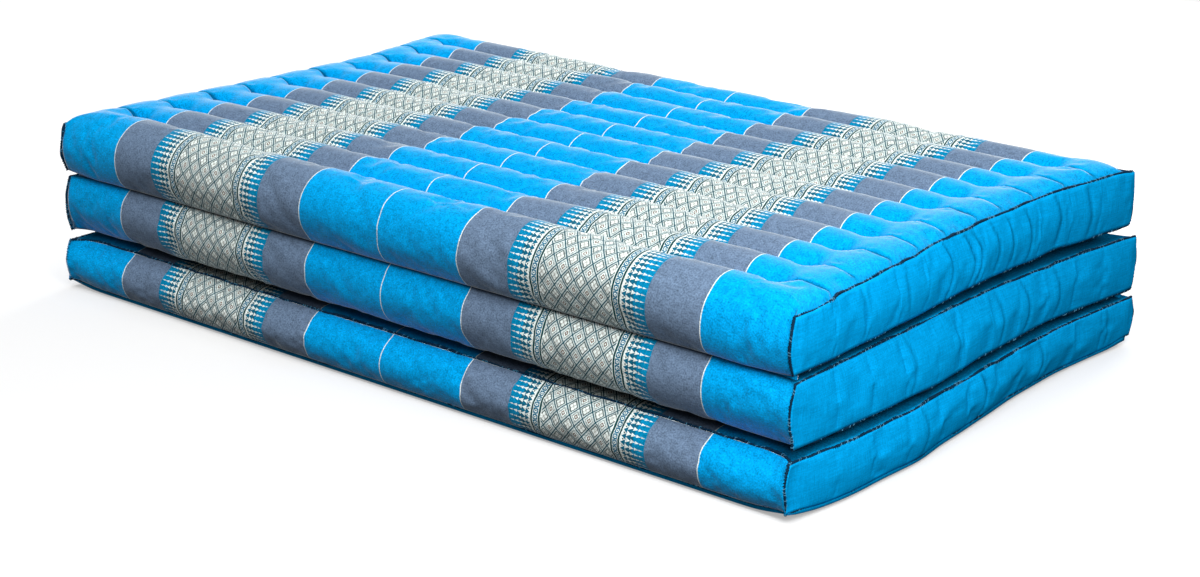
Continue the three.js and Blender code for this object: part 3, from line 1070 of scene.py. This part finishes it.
class MakeBody(bpy.types.Operator):
    """Stuffs the three sections and joins them at their hinges"""

    bl_idname = "mattress.make_body"
    bl_label = "Stuffed body"

    def execute(self, context):
        sizes = context.scene.mattress_sizes
        points, facets, pairs, slots, folds = [], [], [], [], []
        count = 0
        for form in settled_forms().values():
            quads = np.concatenate(form.facets())
            measures, cloths = body_cloth(form)
            points.append(form.points)
            # Painted shade of the section; the hinge strips get none.
            folds.append(form.fold)
            facets.append(quads + count)
            pairs.append(measures)
            slots.append(cloths)
            count += len(form.points)
        for below, above, facing in ((LOWER, MIDDLE, 1), (MIDDLE, UPPER, -1)):
            corners, quads = hinge(below, above, facing, sizes)
            points.append(corners)
            folds.append(np.zeros(len(corners)))
            facets.append(quads + count)
            pairs.append(corners[quads][:, :, [0, 2]])
            slots.append(np.full(len(quads), 0 if facing < 0 else 1))
            count += len(corners)
        body = new_object("mattress_body", np.concatenate(points), np.concatenate(facets))
        body.data.materials.append(face_cloth())
        body.data.materials.append(plain_cloth())
        body.data.materials.append(shaded_face_cloth())
        body.data.polygons.foreach_set("material_index", np.concatenate(slots))
        set_uv(body.data, np.concatenate(pairs))
        set_painted_shade(body.data, np.concatenate(folds))
        smooth(body)
        finish_piece(body, "face_cloth", "stuffed_body")
        return {"FINISHED"}


def sheet_between(name, inner, outer, turned, measures):
    """A closed sheet from two grids of points, with cloth measures for both faces and the rim."""
    rows, wide = inner.shape[:2]
    number = np.arange(rows * wide).reshape(rows, wide)
    quads = np.stack((number[:-1, :-1], number[:-1, 1:], number[1:, 1:], number[1:, :-1]), 2).reshape(-1, 4)
    loop = np.concatenate((number[0], number[1:-1, -1], number[-1, ::-1], number[-2:0:-1, 0]))
    after = np.roll(loop, -1)
    over = rows * wide
    rim = np.stack((loop, after, after + over, loop + over), 1)
    facets = np.concatenate((quads[:, ::-1], quads + over, rim))
    if turned:
        facets = facets[:, ::-1]
    points = np.concatenate((inner.reshape(-1, 3), outer.reshape(-1, 3)))
    piece = new_object(name, points, facets)
    flat = np.tile(measures.reshape(-1, 2), (2, 1))
    set_uv(piece.data, flat[facets])
    smooth(piece)
    return piece


def panel_grids(form, patch, cloth):
    """Inner and outer points of a panel that is sewn over a patch."""
    if patch in ENDS:
        grid, out = form.ends[patch], np.array((ENDS[patch], 0.0, 0.0))
    else:
        grid = form.points[form.patches[patch].T]
        out = np.array((0.0, -1.0 if patch == "front" else 1.0, 0.0))
    return grid + cloth.panel_gap * out, grid + (cloth.panel_gap + cloth.panel) * out


class MakeEndPanels(bpy.types.Operator):
    """Sews a plain panel over each end of each section"""

    bl_idname = "mattress.make_end_panels"
    bl_label = "End panels"

    def execute(self, context):
        cloth = context.scene.mattress_cloth
        for form in settled_forms().values():
            for name, sign in ENDS.items():
                inner, outer = panel_grids(form, name, cloth)
                title = f"end_panel_{name}_{form.section.name}"
                piece = sheet_between(f"{title}_cloth", inner, outer, sign < 0, outer[:, :, 1:])
                piece.data.materials.append(plain_cloth())
                # Painted shade down the creases of this end.
                set_painted_shade(piece.data, np.tile(np.ravel(form.end_folds[name]), 2))
                finish_piece(piece, "end_cloth", title)
        return {"FINISHED"}


WALL_PANELS = (("front_panel_lower", "lower", "front"), ("back_panel_upper", "upper", "back"))


class MakeWallPanels(bpy.types.Operator):
    """Sews the woven panels along the mattress's two short edges"""

    bl_idname = "mattress.make_wall_panels"
    bl_label = "Wall panels"

    def execute(self, context):
        cloth = context.scene.mattress_cloth
        for title, section, patch in WALL_PANELS:
            form = settled_forms()[section]
            inner, outer = panel_grids(form, patch, cloth)
            up = np.linalg.norm(np.diff(outer[:, outer.shape[1] // 2], axis=0), axis=1)
            run = np.concatenate(([0], np.cumsum(up)))
            measures = np.stack(np.broadcast_arrays(form.along[None, :], run[:, None]), 2)
            piece = sheet_between(f"{title}_cloth", inner, outer, patch == "back", measures)
            piece.data.materials.append(face_cloth())
            finish_piece(piece, "wall_cloth", title)
        return {"FINISHED"}


# Seams and stitches


def ridge(path, aside, closed, cloth, seed):
    """A lumpy rolled edge along a path: points and facets of a tube, and its own path."""
    sides = 8
    length = np.concatenate(([0], np.cumsum(np.linalg.norm(np.diff(path, axis=0), axis=1))))
    if closed:
        sway = lumps(path, 0.022, seed)
        sway_up = lumps(path, 0.017, seed + 20)
        swollen = lumps(path, 0.008, seed + 40)
    else:
        sway = lumps(columns(length, seed), 0.022, seed)
        sway_up = lumps(columns(length, seed), 0.017, seed + 20)
        swollen = lumps(columns(length, seed), 0.008, seed + 40)
    before, after = np.roll(path, 1, axis=0), np.roll(path, -1, axis=0)
    if not closed:
        before[0], after[-1] = path[0], path[-1]
    onward = after - before
    onward /= np.linalg.norm(onward, axis=1, keepdims=True)
    out = aside - onward * np.sum(aside * onward, axis=1, keepdims=True)
    out /= np.linalg.norm(out, axis=1, keepdims=True)
    across = np.cross(onward, out)
    radius = cloth.seam * (1 + 0.45 * swollen)
    centre = path + out * (0.0015 * sway + 0.4 * cloth.seam)[:, None] + across * (0.0013 * sway_up)[:, None]
    turn = np.arange(sides) * 2 * np.pi / sides
    rings = (
        centre[:, None]
        + out[:, None] * (np.cos(turn)[:, None] * radius[:, None, None])
        + across[:, None] * (0.72 * np.sin(turn)[:, None] * radius[:, None, None])
    )
    count = len(path)
    number = np.arange(count * sides).reshape(count, sides)
    follow = np.roll(number, -1, axis=0) if closed else number[1:]
    start = number if closed else number[:-1]
    ring_corners = (start, np.roll(start, -1, axis=1), np.roll(follow, -1, axis=1), follow)
    quads = np.stack(ring_corners, 2).reshape(-1, 4)
    facets = quads.tolist()
    if not closed:
        facets += [number[0, ::-1].tolist(), number[-1].tolist()]
    return rings.reshape(-1, 3), facets, centre


def stitch_tree(name, wraps):
    """Geometry nodes that lay thread along paths: rings round a seam's edge, or short bars on a channel."""
    made = bpy.data.node_groups.get(name)
    if made:
        return made
    w, given, result = node_group(
        name,
        "GeometryNodeTree",
        [
            ("Paths", "NodeSocketGeometry"),
            ("Pitch", "NodeSocketFloat"),
            ("Loop", "NodeSocketFloat"),
            ("Thread", "NodeSocketFloat"),
            ("Material", "NodeSocketMaterial"),
        ],
        [("Stitches", "NodeSocketGeometry")],
    )
    curve = w.add("GeometryNodeMeshToCurve")
    w.feed(curve.inputs["Mesh"], given["Paths"])
    spaced = w.add("GeometryNodeResampleCurve", mode="LENGTH")
    w.feed(spaced.inputs["Curve"], curve.outputs[0])
    w.feed(spaced.inputs["Length"], given["Pitch"])
    profile = w.add("GeometryNodeCurvePrimitiveCircle")
    profile.inputs["Resolution"].default_value = 4
    w.feed(profile.inputs["Radius"], given["Thread"])
    if wraps:
        run = w.add("GeometryNodeCurvePrimitiveCircle")
        run.inputs["Resolution"].default_value = 7
        w.feed(run.inputs["Radius"], given["Loop"])
    else:
        reach = w.add("ShaderNodeCombineXYZ")
        w.feed(reach.inputs["Z"], w.math("MULTIPLY", given["Loop"], 0.5))
        back = w.add("ShaderNodeCombineXYZ")
        w.feed(back.inputs["Z"], w.math("MULTIPLY", given["Loop"], -0.5))
        run = w.add("GeometryNodeCurvePrimitiveLine")
        w.feed(run.inputs["Start"], back.outputs[0])
        w.feed(run.inputs["End"], reach.outputs[0])
    sweep = w.add("GeometryNodeCurveToMesh")
    w.feed(sweep.inputs["Curve"], run.outputs[0])
    w.feed(sweep.inputs["Profile Curve"], profile.outputs[0])
    sweep.inputs["Fill Caps"].default_value = True
    aim = w.add("FunctionNodeAlignRotationToVector", axis="Z")
    w.feed(aim.inputs["Vector"], w.add("GeometryNodeInputTangent").outputs[0])
    tilt = w.add("FunctionNodeRandomValue", data_type="FLOAT_VECTOR")
    swing = 0.7 if wraps else 0.06
    tilt.inputs["Min"].default_value = (-swing, -swing, 0)
    tilt.inputs["Max"].default_value = (swing, swing, 0.4)
    tilt.inputs["Seed"].default_value = 11
    turned = w.add("FunctionNodeRotateRotation", rotation_space="LOCAL")
    w.feed(turned.inputs["Rotation"], aim.outputs[0])
    w.feed(turned.inputs["Rotate By"], tilt.outputs[0])
    place = w.add("GeometryNodeInstanceOnPoints")
    w.feed(place.inputs["Points"], spaced.outputs[0])
    w.feed(place.inputs["Instance"], sweep.outputs[0])
    w.feed(place.inputs["Rotation"], turned.outputs[0])
    tint = w.add("FunctionNodeRandomValue", data_type="FLOAT")
    tint.inputs["Seed"].default_value = 5
    mark = w.add("GeometryNodeStoreNamedAttribute", data_type="FLOAT", domain="INSTANCE")
    w.feed(mark.inputs["Geometry"], place.outputs[0])
    mark.inputs["Name"].default_value = "tint"
    w.feed(mark.inputs["Value"], tint.outputs["Value"])
    real = w.add("GeometryNodeRealizeInstances")
    w.feed(real.inputs[0], mark.outputs[0])
    dress = w.add("GeometryNodeSetMaterial")
    w.feed(dress.inputs["Geometry"], real.outputs[0])
    w.feed(dress.inputs["Material"], given["Material"])
    w.feed(result["Stitches"], dress.outputs[0])
    return w.tree


def stitched(name, paths, tree, values):
    """Thread laid by a node tree along paths, each a row of points and whether it closes, as a mesh."""
    points, edges = [], []
    for path, closed in paths:
        start = len(points)
        points += path.tolist()
        edges += [(start + i, start + i + 1) for i in range(len(path) - 1)]
        if closed:
            edges.append((start + len(path) - 1, start))
    mesh = bpy.data.meshes.new(f"{name}_paths")
    mesh.from_pydata(points, edges, [])
    guide = bpy.data.objects.new(f"{name}_paths", mesh)
    bpy.context.scene.collection.objects.link(guide)
    modifier = guide.modifiers.new("Stitches", "NODES")
    modifier.node_group = tree
    sockets = {item.name: item.identifier for item in tree.interface.items_tree if item.in_out == "INPUT"}
    for label, value in values.items():
        modifier[sockets[label]] = value
    graph = bpy.context.evaluated_depsgraph_get()
    laid = bpy.data.meshes.new_from_object(guide.evaluated_get(graph))
    guide.modifiers.remove(modifier)
    drop_object(guide)
    laid.name = name
    return laid


def panel_edges(form, patch):
    """The sewn edges of a panel: each a path, the way out from it, and whether it closes."""
    places = form.patches[patch]
    normals = form.normals()
    if patch in ENDS:
        loop = np.concatenate((places[0], places[1:-1, -1], places[-1, ::-1], places[-2:0:-1, 0]))
        down = 0.3 if form.section is LOWER else -1
        ways = ((0, 0, down), (0, 1, 0), (0, 0, 1), (0, -1, 0))
        counts = (places.shape[1], len(places) - 2, places.shape[1], len(places) - 2)
        out = np.repeat(np.array(ways, float), counts, axis=0)
        out = sum(np.roll(out, turn, axis=0) for turn in range(-3, 4)) / 7
        out[:, 0] = 0.8 * ENDS[patch]
        return [(form.points[loop], out, True)]
    edges = []
    for row, lift in ((0, 0.2), (-1, 0.9)):
        line = places[:, row]
        out = np.tile((0.0, -1.0 if patch == "front" else 1.0, lift), (len(line), 1))
        edges.append((form.points[line], out + 0.2 * normals[line], False))
    return edges


class MakeSeams(bpy.types.Operator):
    bl_idname = "mattress.make_seams"
    bl_label = "Overlocked seams"

    def execute(self, context):
        cloth = context.scene.mattress_cloth
        forms = settled_forms()
        panels = [
            (f"end_panel_{name}_{form.section.name}", form, name) for form in forms.values() for name in ENDS
        ]
        panels += [(title, forms[section], patch) for title, section, patch in WALL_PANELS]
        tree = stitch_tree("Overlock", True)
        for seed, (title, form, patch) in enumerate(panels):
            points, facets, paths = [], [], []
            for path, out, closed in panel_edges(form, patch):
                tube, quads, centre = ridge(path, out, closed, cloth, seed)
                facets += [[corner + len(points) for corner in quad] for quad in quads]
                points += tube.tolist()
                paths.append((centre, closed))
            seam = new_object(f"{title}_seam", np.array(points), facets)
            seam.data.materials.append(seam_material())
            laid = stitched(
                f"{title}_thread",
                paths,
                tree,
                {
                    "Pitch": cloth.seam_pitch,
                    "Loop": cloth.seam * 1.02,
                    "Thread": cloth.thread,
                    "Material": seam_material(),
                },
            )
            join = bmesh.new()
            join.from_mesh(seam.data)
            join.from_mesh(laid)
            join.to_mesh(seam.data)
            join.free()
            bpy.data.meshes.remove(laid)
            lowest = min(vertex.co.z for vertex in seam.data.vertices)
            if lowest < 0:
                seam.data.transform(Matrix.Translation((0, 0, 0.0002 - lowest)))
            smooth(seam)
            panel = bpy.data.objects.get(f"{title}_cloth")
            if panel is None:
                raise RuntimeError(f"{title} has to be sewn on before its seams")
            finish_piece(seam, "end_cloth" if patch in ENDS else "wall_cloth")
        return {"FINISHED"}


class MakeChannelStitches(bpy.types.Operator):
    """Stitches the channels that show, on the top and on the underside"""

    bl_idname = "mattress.make_channel_stitches"
    bl_label = "Channel stitches"

    def execute(self, context):
        sizes, cloth = context.scene.mattress_sizes, context.scene.mattress_cloth
        forms = settled_forms()
        paths = []
        for name, patch, lift in (("upper", "top", 0.0003), ("lower", "bottom", -0.0003)):
            form = forms[name]
            sewn = form.from_end >= sizes.border
            for roll in range(1, sizes.rolls):
                line = form.patches[patch][sewn, roll * form.section.columns]
                paths.append((form.points[line] + (0, 0, lift), False))
        tree = stitch_tree("Channel stitches", False)
        laid = stitched(
            "channel_stitches",
            paths,
            tree,
            {
                "Pitch": cloth.stitch_pitch,
                "Loop": cloth.stitch_pitch * 0.68,
                "Thread": cloth.thread,
                "Material": thread_material(),
            },
        )
        piece = bpy.data.objects.new("channel_stitches", laid)
        context.scene.collection.objects.link(piece)
        finish_piece(piece, "face_cloth")
        return {"FINISHED"}


CAMERA_RIGHT = (0.7713649, 0.63620931, 0.01529435)
CAMERA_UP = (-0.21061909, 0.23253678, 0.94950842)
CAMERA_BACK = (0.6005296, -0.73563875, 0.31336853)


def add_light(name, kind, place, target, power):
    data = bpy.data.lights.new(name, kind)
    data.energy = power
    lamp = bpy.data.objects.new(name, data)
    lamp.location = place
    lamp.rotation_euler = (Vector(target) - Vector(place)).to_track_quat("-Z", "Y").to_euler()
    bpy.context.scene.collection.objects.link(lamp)
    return data


FLOOR_HALF, FLOOR_DROP = 12.0, 0.0002
# Each light: kind, where it is, what it points at.
KEY = "SUN", (0.05, -0.75, 2.0), (0.0, 0.0, 0.0)
FILL = "AREA", (1.2, -0.78, 0.82), (0.5, -0.15, 0.14)
RIM = "AREA", (-0.5, 2.0, 0.95), (0.0, 0.0, 0.2)
FILL_SIZE, RIM_SIZE, SENSOR_WIDTH = 0.6, 1.6, 36.0


class SetStage(bpy.types.Operator):
    """Lays the pale floor, sets the soft light and places the camera"""

    bl_idname = "mattress.set_stage"
    bl_label = "Stage"

    def execute(self, context):
        scene, stage = context.scene, context.scene.mattress_stage
        signs = np.array([(-1, -1, 0), (1, -1, 0), (1, 1, 0), (-1, 1, 0)], float)
        floor = new_object("floor", FLOOR_HALF * signs - (0, 0, FLOOR_DROP), [(0, 1, 2, 3)])
        material = bpy.data.materials.new("pale floor")
        material.use_nodes = True
        shader = material.node_tree.nodes["Principled BSDF"]
        shader.inputs["Roughness"].default_value = 0.9
        shader.inputs["Specular IOR Level"].default_value = 0.0
        shader.inputs["Emission Strength"].default_value = stage.glow
        w = Wiring(material.node_tree)
        seen = w.add("ShaderNodeLightPath").outputs["Is Camera Ray"]
        w.feed(shader.inputs["Emission Color"], seen)
        w.feed(shader.inputs["Base Color"], w.mix(seen, solid(stage.bounce), solid(stage.floor)))
        floor.data.materials.append(material)

        world = bpy.data.worlds.new("white surround")
        world.use_nodes = True
        sky = world.node_tree.nodes["Background"]
        sky.inputs["Color"].default_value = (1.0, 1.0, 1.0, 1.0)
        sky.inputs["Strength"].default_value = stage.sky
        scene.world = world
        key = add_light("key", *KEY, stage.key)
        key.angle = stage.spread
        fill = add_light("fill", *FILL, stage.fill)
        fill.size = FILL_SIZE
        rim = add_light("rim", *RIM, stage.rim)
        rim.size = RIM_SIZE

        data = bpy.data.cameras.new("camera")
        data.lens = stage.lens
        data.sensor_width = SENSOR_WIDTH
        camera = bpy.data.objects.new("camera", data)
        camera.matrix_world = Matrix.Translation(stage.camera_place) @ (
            Matrix((CAMERA_RIGHT, CAMERA_UP, CAMERA_BACK)).transposed().to_4x4()
        )
        scene.collection.objects.link(camera)
        scene.camera = camera
        scene.view_settings.view_transform = "Standard"
        return {"FINISHED"}


class MattressPanel(bpy.types.Panel):
    """Lists the mattress's sizes and the steps that make it"""

    bl_idname = "VIEW3D_PT_mattress"
    bl_label = "Mattress"
    bl_space_type = "VIEW_3D"
    bl_region_type = "UI"
    bl_category = "Mattress"

    def draw(self, context):
        layout = self.layout
        scene = context.scene
        for group in (scene.mattress_sizes, scene.mattress_cloth, scene.mattress_stage):
            box = layout.box()
            for name in group.__annotations__:
                box.prop(group, name)
        for step in STEPS:
            layout.operator(step.bl_idname)


STEPS = (MakeBody, MakeEndPanels, MakeWallPanels, MakeSeams, MakeChannelStitches, SetStage)
GROUPS = {"mattress_sizes": MattressSizes, "mattress_cloth": MattressCloth, "mattress_stage": MattressStage}


def register():
    for kind in (*GROUPS.values(), *STEPS, MattressPanel):
        bpy.utils.register_class(kind)
    for name, kind in GROUPS.items():
        setattr(bpy.types.Scene, name, PointerProperty(type=kind))


def unregister():
    for name in GROUPS:
        delattr(bpy.types.Scene, name)
    for kind in (MattressPanel, *reversed(STEPS), *reversed(GROUPS.values())):
        bpy.utils.unregister_class(kind)


def main():
    register()
    bpy.ops.mattress.make_body()
    bpy.ops.mattress.make_end_panels()
    bpy.ops.mattress.make_wall_panels()
    bpy.ops.mattress.make_seams()
    bpy.ops.mattress.make_channel_stitches()
    bpy.ops.mattress.set_stage()


if __name__ == "__main__":
    main()
